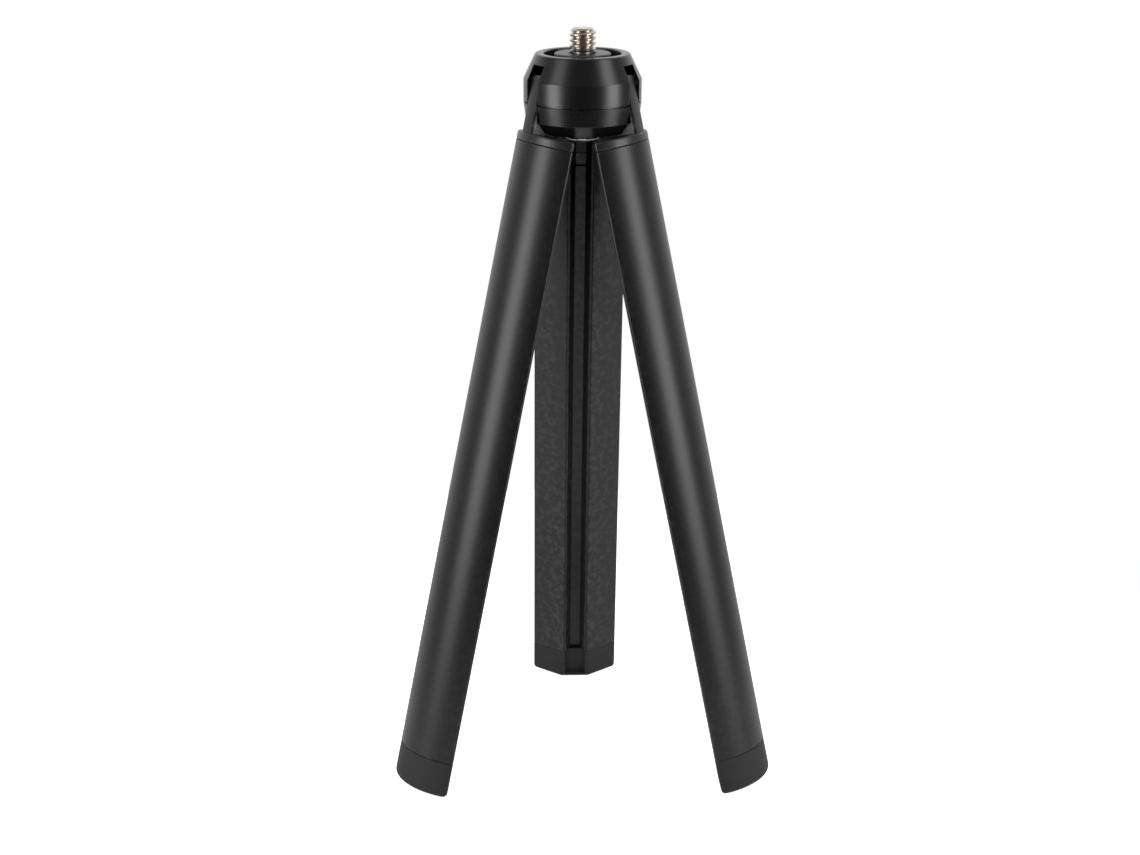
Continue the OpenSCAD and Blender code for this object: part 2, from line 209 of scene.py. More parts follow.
class TripodSettings(bpy.types.PropertyGroup):
    """All the tripod's sizes and colours"""

    head: PointerProperty(type=TripodHeadSizes, name="Head", description="Sizes of the head")
    metal: PointerProperty(type=TripodMetalSizes, name="Metal", description="Stud and screw")
    leg: PointerProperty(type=TripodLegSizes, name="Legs", description="Sizes of the legs")
    finish: PointerProperty(type=TripodFinishes, name="Finishes", description="Colours")


class Millimetres:
    """Reads a property group's lengths in millimetres."""

    def __init__(self, group):
        self.group = group

    def __getattr__(self, name):
        value = getattr(self.group, name)
        return value if isinstance(value, int) else round(value / MM, 6)


def head_sizes():
    return Millimetres(bpy.context.scene.tripod.head)


def metal_sizes():
    return Millimetres(bpy.context.scene.tripod.metal)


def leg_sizes():
    return Millimetres(bpy.context.scene.tripod.leg)


# ---------------------------------------------------------------- outlines


def unit(a, b):
    """The direction from point a to point b, and their distance."""
    length = math.hypot(b[0] - a[0], b[1] - a[1])
    return (b[0] - a[0]) / length, (b[1] - a[1]) / length, length


def rounded(before, corner, after, radius, steps=4):
    """The arc that rounds a corner of an outline, from the side of before to that of after."""
    ax, ay, a_length = unit(corner, before)
    bx, by, b_length = unit(corner, after)
    half = math.acos(max(-1.0, min(1.0, ax * bx + ay * by))) / 2
    if radius <= 0 or half > math.radians(89.5):
        return [corner] * (steps + 1)
    reach = min(radius / math.tan(half), a_length * 0.49, b_length * 0.49)
    radius = reach * math.tan(half)
    mx, my, _ = unit((0, 0), (ax + bx, ay + by))
    cx = corner[0] + mx * radius / math.sin(half)
    cy = corner[1] + my * radius / math.sin(half)
    start = math.atan2(corner[1] + ay * reach - cy, corner[0] + ax * reach - cx)
    end = math.atan2(corner[1] + by * reach - cy, corner[0] + bx * reach - cx)
    sweep = (end - start + math.pi) % (2 * math.pi) - math.pi
    return [
        (cx + radius * math.cos(start + sweep * i / steps),
         cy + radius * math.sin(start + sweep * i / steps))
        for i in range(steps + 1)
    ]


def rounded_line(points, steps=4):
    """A line of (x, y, radius) points, with each corner between its ends rounded."""
    line = [points[0][:2]]
    for before, corner, after in zip(points, points[1:], points[2:]):
        if corner[2] > 0:
            line += rounded(before[:2], corner[:2], after[:2], corner[2], steps)
        else:
            line.append(corner[:2])
    return line + [points[-1][:2]]


LEAST_CORNER = 0.3  # radius that a corner keeps in a section that is pulled in
LEDGE = 0.02  # width that a ledge keeps there
EDGE_STEPS, CORNER_STEPS, ROUND_STEPS = 3, 8, 32  # cells of a section's arcs


def leg_section(inset, edge, foot=False):
    """A leg's section pulled in by inset, as a loop of points whose number never changes.

    The loop runs from the middle of the channel's floor, or of a foot's flat inner edge, round
    the side at +y to the outside's middle, and back along -y.
    """
    s = leg_sizes()
    offset = head_sizes().diameter / 2 - s.radius
    tip = offset + inset / math.sin(FACE_ANGLE)
    radius = s.radius - inset
    corner = max(s.corner - inset, LEAST_CORNER)
    reach = radius - corner
    spread = FACE_ANGLE - math.asin((corner + inset) / reach)
    cx, cy = offset + reach * math.cos(spread), reach * math.sin(spread)
    along = (cx - tip) * 0.5 + cy * math.sin(FACE_ANGLE)
    tangent = (tip + along * 0.5, along * math.sin(FACE_ANGLE))
    mouth_x = offset + s.channel_width / 2 / FACE_SLOPE
    if foot:
        flat_x = offset + s.foot_flat / 2 / FACE_SLOPE + inset
        end_y = (flat_x - tip) * FACE_SLOPE
        path = [(flat_x, end_y * k) for k in (0, 0.3, 0.5, 0.7, 1)]
    else:
        ledge_x = mouth_x + s.ledge_depth + inset
        floor_x = mouth_x + s.channel_depth + inset
        mouth = min(s.channel_width / 2 + inset, (ledge_x - tip) * FACE_SLOPE - LEDGE)
        throat = min(s.throat_width / 2 + inset, mouth - LEDGE)
        path = [
            (floor_x, 0), (floor_x, s.floor_width / 2 + inset),
            (ledge_x, throat), (ledge_x, mouth),
            (tip + mouth / FACE_SLOPE, mouth),
        ]
    path.append(tangent)
    half = [path[0]]
    for before, here, after in zip(path, path[1:], path[2:]):
        half += rounded(before, here, after, edge, EDGE_STEPS)
    start = math.radians(150)
    for i in range(CORNER_STEPS):
        angle = start + (spread - start) * i / CORNER_STEPS
        half.append((cx + corner * math.cos(angle), cy + corner * math.sin(angle)))
    for i in range(ROUND_STEPS + 1):
        angle = spread * (1 - i / ROUND_STEPS)
        half.append((offset + radius * math.cos(angle), radius * math.sin(angle)))
    return half + [(x, -y) for x, y in half[-2:0:-1]]


# ---------------------------------------------------------------- meshes


def head_place():
    """Where a shape drawn about the split plane goes."""
    return Matrix.Translation((0, 0, HINGE_Z * MM))


def leg_place(side):
    """Where a shape drawn on a folded leg, along +X, goes on the open leg."""
    pin = Matrix.Translation((HINGE_R * MM, 0, 0))
    opened = pin @ Matrix.Rotation(-OPEN_ANGLE, 4, "Y") @ pin.inverted()
    return head_place() @ Matrix.Rotation(AZIMUTHS[side], 4, "Z") @ opened


def new_object(name, mesh):
    obj = bpy.data.objects.new(name, mesh)
    bpy.context.scene.collection.objects.link(obj)
    return obj


MERGE = 1e-7  # distance in metres within which a mesh's points are merged


def mesh_of(name, points, faces):
    """A closed mesh in metres from points in millimetres, with its faces outwards."""
    mesh = bpy.data.meshes.new(name)
    mesh.from_pydata([(x * MM, y * MM, z * MM) for x, y, z in points], [], faces)
    bm = bmesh.new()
    bm.from_mesh(mesh)
    bmesh.ops.delete(bm, geom=[v for v in bm.verts if not v.link_faces], context="VERTS")
    bmesh.ops.remove_doubles(bm, verts=bm.verts, dist=MERGE)
    bmesh.ops.recalc_face_normals(bm, faces=bm.faces)
    bm.to_mesh(mesh)
    bm.free()
    return mesh


def loft(name, loops, ring=False):
    """A mesh through loops of as many points each, capped at its ends or closed into a ring."""
    count = len(loops[0])
    points = [point for loop in loops for point in loop]
    faces = []
    for k in range(len(loops) if ring else len(loops) - 1):
        a, b = k * count, (k + 1) % len(loops) * count
        faces += [(a + i, a + (i + 1) % count, b + (i + 1) % count, b + i) for i in range(count)]
    if not ring:
        faces.append(tuple(range(count)))
        faces.append(tuple(range(len(points) - count, len(points))))
    return mesh_of(name, points, faces)


def hexagon_radius(flats, angle):
    """Distance from the middle to a hexagon's side at an angle."""
    return flats / 2 / math.cos((angle + math.pi / 6) % (math.pi / 3) - math.pi / 6)


def turned(name, rows, count=96, closed=True):
    """A turned mesh through (radius, z) rows, or (0, z, flats) rows for a hexagon.

    A first or last row of no radius is a closed end, and rows that start and end elsewhere
    make a ring, unless closed is false, which leaves the last row open.
    """
    points, faces, rings = [], [], []
    for row in rows:
        start = len(points)
        if len(row) == 2 and row[0] == 0:
            points.append((0, 0, row[1]))
            rings.append([start] * count)
            continue
        for i in range(count):
            angle = 2 * math.pi * i / count
            radius = hexagon_radius(row[2], angle) if len(row) == 3 else row[0]
            z = row[1](radius) if callable(row[1]) else row[1]
            points.append((radius * math.cos(angle), radius * math.sin(angle), z))
        rings.append(list(range(start, start + count)))
    pairs = list(zip(rings, rings[1:]))
    if closed and rings[0][0] != rings[0][1]:
        pairs.append((rings[-1], rings[0]))
    for low, high in pairs:
        for i in range(count):
            j = (i + 1) % count
            faces.append(list(dict.fromkeys((low[i], low[j], high[j], high[i]))))
    return mesh_of(name, points, faces)


def block(name, x, y, z):
    """A box between pairs of limits, for a cut."""
    corners = [(x[i], y[j], z[k]) for k in (0, 1) for i, j in ((0, 0), (1, 0), (1, 1), (0, 1))]
    sides = [(i, (i + 1) % 4, (i + 1) % 4 + 4, i + 4) for i in range(4)]
    return mesh_of(name, corners, sides + [(3, 2, 1, 0), (4, 5, 6, 7)])


def bar_along_y(name, radius, length):
    """A round bar through a hinge, for a cut."""
    loops = [
        [(HINGE_R + radius * math.cos(a), y, radius * math.sin(a))
         for a in (2 * math.pi * i / 48 for i in range(48))]
        for y in (-length / 2, length / 2)
    ]
    return loft(name, loops)


def combine(mesh, other, operation):
    """The exact union or difference of two meshes. Both go, and a new mesh comes back."""
    name = mesh.name
    base, tool = new_object("base", mesh), new_object("tool", other)
    modifier = base.modifiers.new("combine", "BOOLEAN")
    modifier.operation, modifier.solver, modifier.object = operation, "EXACT", tool
    bpy.context.view_layer.update()
    graph = bpy.context.evaluated_depsgraph_get()
    result = bpy.data.meshes.new_from_object(base.evaluated_get(graph))
    bpy.data.objects.remove(base)
    bpy.data.objects.remove(tool)
    bpy.data.meshes.remove(mesh)
    bpy.data.meshes.remove(other)
    if not result.polygons:
        raise RuntimeError(f"{name}: the {operation.lower()} left nothing")
    result.name = name
    return result


def soften(mesh, width, angle, keep=None):
    """Rounds the edges sharper than an angle, and that keep picks if given, by a width in mm."""
    bm = bmesh.new()
    bm.from_mesh(mesh)
    bmesh.ops.remove_doubles(bm, verts=bm.verts, dist=MERGE)
    limit = math.radians(angle)
    edges = [
        e for e in bm.edges
        if e.is_manifold and e.calc_face_angle(0) > limit and (keep is None or keep(e))
    ]
    bmesh.ops.bevel(
        bm, geom=edges, offset=width * MM, offset_type="OFFSET", segments=2, profile=0.5,
        affect="EDGES", clamp_overlap=True,
    )
    bm.to_mesh(mesh)
    bm.free()
    return mesh


def finish_piece(mesh, name, body, material, nodes, place):
    """Makes a mesh the piece that stands for CAD nodes: placed, with its material, on their body,
    with the nodes hidden.
    """
    mesh.transform(place)
    mesh.name = name
    mesh.materials.clear()
    mesh.materials.append(material)
    for polygon in mesh.polygons:
        polygon.material_index = 0
    mesh.shade_smooth()
    mesh.set_sharp_from_angle(angle=math.radians(42))
    piece = new_object(name, mesh)
    normals = piece.modifiers.new("weighted normals", "WEIGHTED_NORMAL")
    normals.keep_sharp = True
    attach(piece, body)
    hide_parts(*nodes)
    return piece


# ---------------------------------------------------------------- nodes and shader groups


def feed(tree, socket, value):
    """Gives a node's input a value, or a link from another node's output."""
    if isinstance(value, bpy.types.NodeSocket):
        tree.links.new(value, socket)
    else:
        socket.default_value = value


def add_node(tree, kind, inputs=None):
    """A new node, with inputs fed by their names or numbers."""
    node = tree.nodes.new(kind)
    for label, value in (inputs or {}).items():
        feed(tree, node.inputs[label], value)
    return node


def calculator(tree):
    """A function that adds a Math node on sockets or numbers, and gives its output."""

    def calc(operation, *values, clamp=False):
        node = add_node(tree, "ShaderNodeMath", dict(enumerate(values)))
        node.operation, node.use_clamp = operation, clamp
        return node.outputs[0]

    return calc


def noise_node(tree, vector, scale, detail=2.0, roughness=0.5):
    """A Noise Texture on a vector; gives its value."""
    return add_node(tree, "ShaderNodeTexNoise", {
        "Vector": vector, "Scale": scale, "Detail": detail, "Roughness": roughness,
    }).outputs[0]


def range_node(tree, value, low, high, to_low=0.0, to_high=1.0):
    """A Map Range node; gives its result."""
    return add_node(tree, "ShaderNodeMapRange", {
        "Value": value, "From Min": low, "From Max": high, "To Min": to_low, "To Max": to_high,
    }).outputs[0]


def mix_colour(tree, factor, first, second):
    """A Mix node between colours given as sockets or values; gives its result."""
    node = tree.nodes.new("ShaderNodeMix")
    node.data_type = "RGBA"
    feed(tree, node.inputs["Factor"], factor)
    for number, value in ((6, first), (7, second)):
        is_socket = isinstance(value, bpy.types.NodeSocket)
        feed(tree, node.inputs[number], value if is_socket else (*value, 1.0))
    return node.outputs[2]


def object_coordinates(tree):
    return add_node(tree, "ShaderNodeTexCoord").outputs["Object"]


def new_group(name, inputs, outputs):
    """An empty shader group of numbers, with inputs {name: default} and named outputs."""
    group = bpy.data.node_groups.new(name, "ShaderNodeTree")
    for label, default in inputs.items():
        socket = group.interface.new_socket(label, in_out="INPUT", socket_type="NodeSocketFloat")
        socket.default_value = default
    for label in outputs:
        group.interface.new_socket(label, in_out="OUTPUT", socket_type="NodeSocketFloat")
    inp, out = add_node(group, "NodeGroupInput"), add_node(group, "NodeGroupOutput")
    return group, inp.outputs, out.inputs


def moulded_grain_group():
    """Fine spark-eroded texture, with a slow change of gloss over the surface."""
    group, inp, out = new_group(
        "Moulded Grain", {"Scale": 3000.0, "Gloss": 0.3, "Gloss Change": 0.05},
        ("Height", "Roughness"),
    )
    calc, where = calculator(group), object_coordinates(group)
    fine = noise_node(group, where, inp["Scale"], 3.0, 0.6)
    slow = noise_node(group, where, 90.0, 3.0)
    swing = calc("MULTIPLY", calc("SUBTRACT", slow, 0.5), 2.0)
    change = calc("MULTIPLY", swing, inp["Gloss Change"])
    speckle = calc("MULTIPLY", calc("SUBTRACT", fine, 0.5), 0.12)
    feed(group, out["Height"], fine)
    feed(group, out["Roughness"], calc("ADD", calc("ADD", inp["Gloss"], change), speckle))
    return group


def drawn_lines_group():
    """Fine lines along an extrusion, on the piece's own UV map: U round it and V along it."""
    group, inp, out = new_group(
        "Drawn Lines", {"Gloss": 0.35, "Gloss Change": 0.06, "Lines": 900.0},
        ("Height", "Roughness", "Shade"),
    )
    calc, where = calculator(group), object_coordinates(group)
    uv = add_node(group, "ShaderNodeUVMap")
    uv.uv_map = "UVMap"
    split = add_node(group, "ShaderNodeSeparateXYZ", {0: uv.outputs["UV"]}).outputs
    stretched = add_node(group, "ShaderNodeCombineXYZ", {
        "X": calc("MULTIPLY", split["X"], inp["Lines"]), "Y": calc("MULTIPLY", split["Y"], 6.0),
    })
    lines = noise_node(group, stretched.outputs[0], 4.0, 4.0, 0.65)
    blast = noise_node(group, where, 4200.0, 2.0)
    cloud = noise_node(group, where, 45.0, 4.0)
    swing = calc("MULTIPLY", calc("SUBTRACT", lines, 0.5), 1.2)
    both = calc("ADD", swing, calc("SUBTRACT", cloud, 0.5))
    change = calc("MULTIPLY", both, inp["Gloss Change"])
    feed(group, out["Roughness"], calc("ADD", inp["Gloss"], change))
    feed(group, out["Height"], calc("ADD", lines, calc("MULTIPLY", blast, 0.4)))
    feed(group, out["Shade"], range_node(group, cloud, 0.3, 0.7))
    return group


def edge_wear_and_highlight_group():
    """A mask of convex edges, broken up by a fine noise: rubbed edges, and a painted highlight
    along edges where its amount is raised.
    """
    group, inp, out = new_group("Edge Wear", {"Amount": 0.3, "Scale": 700.0}, ("Mask",))
    calc, where = calculator(group), object_coordinates(group)
    point = add_node(group, "ShaderNodeNewGeometry").outputs["Pointiness"]
    edge = range_node(group, point, 0.52, 0.62)
    patches = range_node(group, noise_node(group, where, inp["Scale"], 4.0), 0.45, 0.65)
    worn_and_highlit = calc("MULTIPLY", edge, patches)
    feed(group, out["Mask"], calc("MULTIPLY", worn_and_highlit, inp["Amount"], clamp=True))
    return group


def dust_group():
    """A mask of sparse small specks of dust."""
    group, inp, out = new_group("Dust Specks", {"Scale": 420.0, "Amount": 0.5}, ("Mask",))
    calc, where = calculator(group), object_coordinates(group)
    cells = add_node(group, "ShaderNodeTexVoronoi", {"Vector": where, "Scale": inp["Scale"]})
    speck = range_node(group, cells.outputs["Distance"], 0.035, 0.075, 1.0, 0.0)
    split = add_node(group, "ShaderNodeSeparateColor", {0: cells.outputs["Color"]})
    some = calc("MULTIPLY", speck, calc("GREATER_THAN", split.outputs[0], 0.93))
    feed(group, out["Mask"], calc("MULTIPLY", some, inp["Amount"], clamp=True))
    return group


GROUP_MAKERS = {
    "Moulded Grain": moulded_grain_group,
    "Drawn Lines": drawn_lines_group,
    "Edge Wear": edge_wear_and_highlight_group,
    "Dust Specks": dust_group,
}


def use_group(tree, name, **values):
    """Places a shader group in a material with its own values, and gives its outputs."""
    node = tree.nodes.new("ShaderNodeGroup")
    node.node_tree = bpy.data.node_groups.get(name) or GROUP_MAKERS[name]()
    for label, value in values.items():
        node.inputs[label.replace("_", " ")].default_value = value
    return node.outputs


# ---------------------------------------------------------------- finishes


WEAR_AND_HIGHLIGHT_WHITE = 0.35  # how far a rubbed edge, or an edge with a painted highlight, goes from its colour to white
# Each finish's material, and the values that it gives new_material
FINISHES = {
    "head": ("Satin Head Plastic", dict(gloss=0.30, bump=0.002, worn_and_highlit=0.8, dust=0.25)),
    "seat": ("Matt Seat Plastic", dict(gloss=0.42, bump=0.003, worn_and_highlit=0.8, dust=0.25)),
    # The yoke's larger edge amount paints a highlight along its edges, as on the tongue flange's
    # inner edge, as well as rubbed edges.
    "yoke": ("Satin Yoke Plastic", dict(gloss=0.38, bump=0.002, worn_and_highlit=2.0, dust=0.35)),
    "tube": ("Black Anodised Extrusion", dict(gloss=0.37, bump=0.0003, worn_and_highlit=0.7, dust=0.22,
                                              lines=True, specular=0.42, gloss_change=0.03,
                                              shade=0.08)),
    "foot": ("Matt Foot Rubber", dict(gloss=0.62, bump=0.012, worn_and_highlit=0.4, dust=0.3, grain=1900.0,
                                      specular=0.35)),
    "stud": ("Stud Nickel", dict(gloss=0.3, bump=0.0015, grain=1500.0, metallic=1.0, shade=0.12)),
    "screw": ("Polished Nickel", dict(gloss=0.2, bump=0.0008, grain=1200.0, metallic=1.0,
                                      shade=0.08)),
    "steel": ("Ground Steel", dict(gloss=0.3, bump=0.001, grain=2200.0, metallic=1.0, shade=0.1)),
    "nylon": ("Natural Nylon", dict(gloss=0.5, bump=0.002, dust=0.15, grain=1600.0)),
}


def finish_material(key):
    """The material of a finish, which is made when it is first asked for."""
    name, values = FINISHES[key]
    colour_value = tuple(getattr(bpy.context.scene.tripod.finish, key))
    return bpy.data.materials.get(name) or new_material(name, colour_value, **values)


def new_material(name, base, gloss, bump, worn_and_highlit=0.0, dust=0.0, grain=3000.0, lines=False,
                 specular=0.5, gloss_change=0.05, metallic=0.0, shade=0.18):
    """A material with grain or drawn lines, rubbed edges with a painted edge highlight, and dust.
    The bump is in millimetres.
    """
    finish = bpy.context.scene.tripod.finish
    material = bpy.data.materials.new(name)
    material.use_nodes = True
    tree = material.node_tree
    shader = tree.nodes["Principled BSDF"]
    shader.inputs["Metallic"].default_value = metallic
    shader.inputs["Specular IOR Level"].default_value = specular
    if lines:
        surface = use_group(tree, "Drawn Lines", Gloss=gloss, Gloss_Change=gloss_change)
        varied = surface["Shade"]
    else:
        surface = use_group(tree, "Moulded Grain", Scale=grain, Gloss=gloss,
                            Gloss_Change=gloss_change)
        varied = range_node(tree, surface["Height"], 0.35, 0.65)
    colours = mix_colour(tree, varied, base, tuple(c * (1 + shade) for c in base))
    # Painted highlight and rubbing: convex edges lightened towards white.
    wear = use_group(tree, "Edge Wear", Amount=worn_and_highlit * finish.wear)["Mask"]
    colours = mix_colour(tree, wear, colours, tuple(c + (1 - c) * WEAR_AND_HIGHLIGHT_WHITE for c in base))
    if dust > 0:
        specks = use_group(tree, "Dust Specks", Amount=dust)["Mask"]
        colours = mix_colour(tree, specks, colours, tuple(finish.dust))
    feed(tree, shader.inputs["Base Color"], colours)
    feed(tree, shader.inputs["Roughness"], surface["Roughness"])
    relief = add_node(tree, "ShaderNodeBump", {
        "Strength": 1.0, "Distance": bump * MM, "Height": surface["Height"],
    })
    feed(tree, shader.inputs["Normal"], relief.outputs["Normal"])
    return material


# ---------------------------------------------------------------- head


SLOT_CELLS, SHELL_CELLS = 6, 44  # of a shell across a slot, and between two slots
SLIT_STRAIGHT = 0.7  # share of the split edge that is the slit's straight side
SLIT_FILLET = 0.08


def hub_reach():
    """Distance from the axis to the corners of the slots' back walls."""
    s = head_sizes()
    return math.hypot(s.hub_radius, s.slot_width / 2)


def split_line(towards):
    """The slit at the split plane that a shell's outline starts with, towards +z or -z."""
    s = head_sizes()
    radius, edge = s.diameter / 2, towards * s.split_edge
    inner = radius - s.split_slit
    return [(inner, 0, 0), (inner, edge * SLIT_STRAIGHT, 0), (radius, edge, SLIT_FILLET)]


def slotted_shell(name, rows, recess):
    """A turned shell with three slots. Each row is (radius, z, whether it crosses the slots).

    A row whose radius is "hub" runs along the slots' back walls. The recess lists the (x, z)
    lines inside a slot, from the slots' top row to the hub row that the rows start from.
    """
    s = head_sizes()
    half, hub, hub_corner = s.slot_width / 2, s.hub_radius, hub_reach()
    per_side = SLOT_CELLS + SHELL_CELLS
    azimuths = sorted(AZIMUTHS[side] % (2 * math.pi) for side in SIDES)
    points, faces = [], []
    for radius, z, _ in rows:
        at_hub = radius == "hub"
        edge = math.asin(half / max(hub_corner, 0 if at_hub else radius))
        for azimuth in azimuths:
            turn = Matrix.Rotation(azimuth, 3, "Z")
            for i in range(SLOT_CELLS):
                across = i / SLOT_CELLS
                if at_hub:
                    point = Vector((hub, -half + 2 * half * across, z))
                else:
                    angle = -edge + 2 * edge * across
                    point = Vector((radius * math.cos(angle), radius * math.sin(angle), z))
                points.append(tuple(turn @ point))
            span = 2 * math.pi / 3 - 2 * edge
            reach = hub_corner if at_hub else radius
            for i in range(SHELL_CELLS):
                angle = azimuth + edge + span * i / SHELL_CELLS
                points.append((reach * math.cos(angle), reach * math.sin(angle), z))
    count = 3 * per_side
    for k in range(len(rows)):
        after = (k + 1) % len(rows)
        for i in range(count):
            in_slot = i % per_side < SLOT_CELLS
            if in_slot and not (rows[k][2] and rows[after][2]):
                continue
            j = (i + 1) % count
            faces.append((k * count + i, k * count + j, after * count + j, after * count + i))
    first_open = next(k for k, row in enumerate(rows) if not row[2])
    last_open = max(k for k, row in enumerate(rows) if not row[2])
    for side, azimuth in enumerate(azimuths):
        turn = Matrix.Rotation(azimuth, 3, "Z")
        columns = [(side * per_side + i) % count for i in range(SLOT_CELLS + 1)]
        lines = [[(last_open + 1) * count + c for c in columns]]
        for x, z in recess:
            start = len(points)
            for i in range(SLOT_CELLS + 1):
                y = -half + 2 * half * i / SLOT_CELLS
                points.append(tuple(turn @ Vector((x, y, z))))
            lines.append(list(range(start, start + SLOT_CELLS + 1)))
        lines.append([(first_open - 1) * count + c for c in columns])
        for a, b in zip(lines, lines[1:]):
            faces += [(a[i], a[i + 1], b[i + 1], b[i]) for i in range(SLOT_CELLS)]
        for end in (0, SLOT_CELLS):
            wall = [k * count + columns[end] for k in range(first_open - 1, last_open + 2)]
            faces.append(tuple(wall + [line[end] for line in lines[1:-1]]))
    return mesh_of(name, points, faces)


def beds_for_pins(mesh):
    """Cuts the beds that the hinge pins lie in."""
    m = metal_sizes()
    for side in SIDES:
        bed = bar_along_y("bed", m.pin_diameter / 2 + FIT, m.pin_length + 2 * FIT)
        bed.transform(Matrix.Rotation(AZIMUTHS[side], 4, "Z"))
        mesh = combine(mesh, bed, "DIFFERENCE")
    return mesh


PAST_HUB = 0.0015  # distance in metres from a slot's back wall at which its rounded edges start


def slot_edges(mesh):
    """Rounds the edges where the slots open through the head's surface."""
    s = head_sizes()
    half, top, rim = s.slot_width / 2 * MM, s.slot_top * MM, s.rim_diameter / 2 * MM
    start = s.hub_radius * MM + PAST_HUB

    def opens(edge):
        for side in SIDES:
            turn = Matrix.Rotation(-AZIMUTHS[side], 3, "Z")
            ends = [turn @ v.co for v in edge.verts]
            beside = all(abs(abs(p.y) - half) < NEAR and p.x > start for p in ends)
            over = all(
                abs(p.z - top) < NEAR and abs(p.y) < half + NEAR and p.x > rim for p in ends
            )
            if over or (beside and any(abs(p.z) > NEAR for p in ends)):
                return True
        return False

    return soften(mesh, s.slot_edge, 25, opens)


class TRIPOD_OT_head_shells(bpy.types.Operator):
    """Build the upper and the lower shell of the head"""

    bl_idname = "tripod.head_shells"
    bl_label = "Head Shells"

    def execute(self, context):
        s, m = head_sizes(), metal_sizes()
        radius, well = s.diameter / 2, s.well_diameter / 2
        bore = m.shank_diameter / 2 + FIT
        floor = s.upper_height - s.well_depth
        recess_r = m.collar_flats / 2 / math.cos(math.pi / 6) + 0.08
        rim_z = s.upper_height - s.rim_edge
        slope = (radius - s.rim_diameter / 2) / (rim_z - s.belt_height)
        at_slot = radius - (s.slot_top - s.belt_height) * slope
        rim_r = s.rim_diameter / 2 - s.rim_edge * slope
        outside = rounded_line(
            split_line(1) + [(radius, s.belt_height, 0.45), (at_slot, s.slot_top, 0)]
        )
        top = rounded_line([
            (at_slot, s.slot_top, 0), (rim_r, s.upper_height, 0.62),
            (well, s.upper_height, 0.4), (well, floor, 0.25), (recess_r, floor, 0),
            (recess_r, floor - m.collar_height, 0), (bore, floor - m.collar_height, 0),
        ], 6)
        rows = [(bore, 0, True), ("hub", 0, True)]
        rows += [(r, z, False) for r, z in outside[:-1]]
        rows += [(r, z, True) for r, z in top]
        step = well + 0.8
        recess = [(step, s.slot_top), (step, s.slot_roof), (s.hub_radius, s.slot_roof)]
        upper = beds_for_pins(slot_edges(slotted_shell("upper", rows, recess)))
        finish_piece(upper, "upper_shell", "head", finish_material("head"),
                     ["head_upper_shell"], head_place())

        foot_r = s.lower_diameter / 2
        under = rounded_line(split_line(-1) + [
            (foot_r, -s.lower_height, 0.75), (s.belly_top_diameter / 2, -s.lower_height, 0.3),
            (s.belly_diameter / 2, -s.belly_height, 0.35), (hub_reach(), -s.belly_height, 0),
        ], 5)
        hole = m.screw_diameter / 2 + 0.1
        rows = [(hole, 0, True), ("hub", 0, True)]
        rows += [(r, z, False) for r, z in under[:-1]]
        rows += [("hub", -s.belly_height, True), (hole, -s.belly_height, True)]
        lower = beds_for_pins(slot_edges(slotted_shell("lower", rows, [])))
        finish_piece(lower, "lower_shell", "head", finish_material("head"),
                     ["head_lower_shell"], head_place())
        return {"FINISHED"}


class TRIPOD_OT_camera_seat(bpy.types.Operator):
    """Build the disc that a camera rests on"""

    bl_idname = "tripod.camera_seat"
    bl_label = "Camera Seat"

    def execute(self, context):
        s, m = head_sizes(), metal_sizes()
        bore = m.thread_diameter / 2 + 0.12
        floor, top = s.upper_height - s.well_depth, s.upper_height
        rows = rounded_line([
            (bore, floor, 0), (s.seat_diameter / 2, floor, 0.12),
            (s.seat_diameter / 2, top, s.seat_edge), (bore, top, 0.18), (bore, floor + 0.3, 0),
        ], 6)
        finish_piece(turned("seat", rows, 144), "seat_disc", "head",
                     finish_material("seat"), ["camera_seat"], head_place())
        return {"FINISHED"}


# ---------------------------------------------------------------- stud and screw


THREAD_INPUTS = {
    "Geometry": "NodeSocketGeometry",
    **dict.fromkeys(("Major Radius", "Root Radius", "Neck Radius", "Tip Radius", "Pitch",
                     "Length", "Tip Height", "Start"), "NodeSocketFloat"),
    "Segments": "NodeSocketInt", "Rows": "NodeSocketInt", "Material": "NodeSocketMaterial",
}
# Where a flank ends, as shares of half a pitch from the crest's middle
ROOT_AT, CREST_AT = 0.9, 0.16
RUN_IN = 1.2  # widening of the thread above its neck, over its height


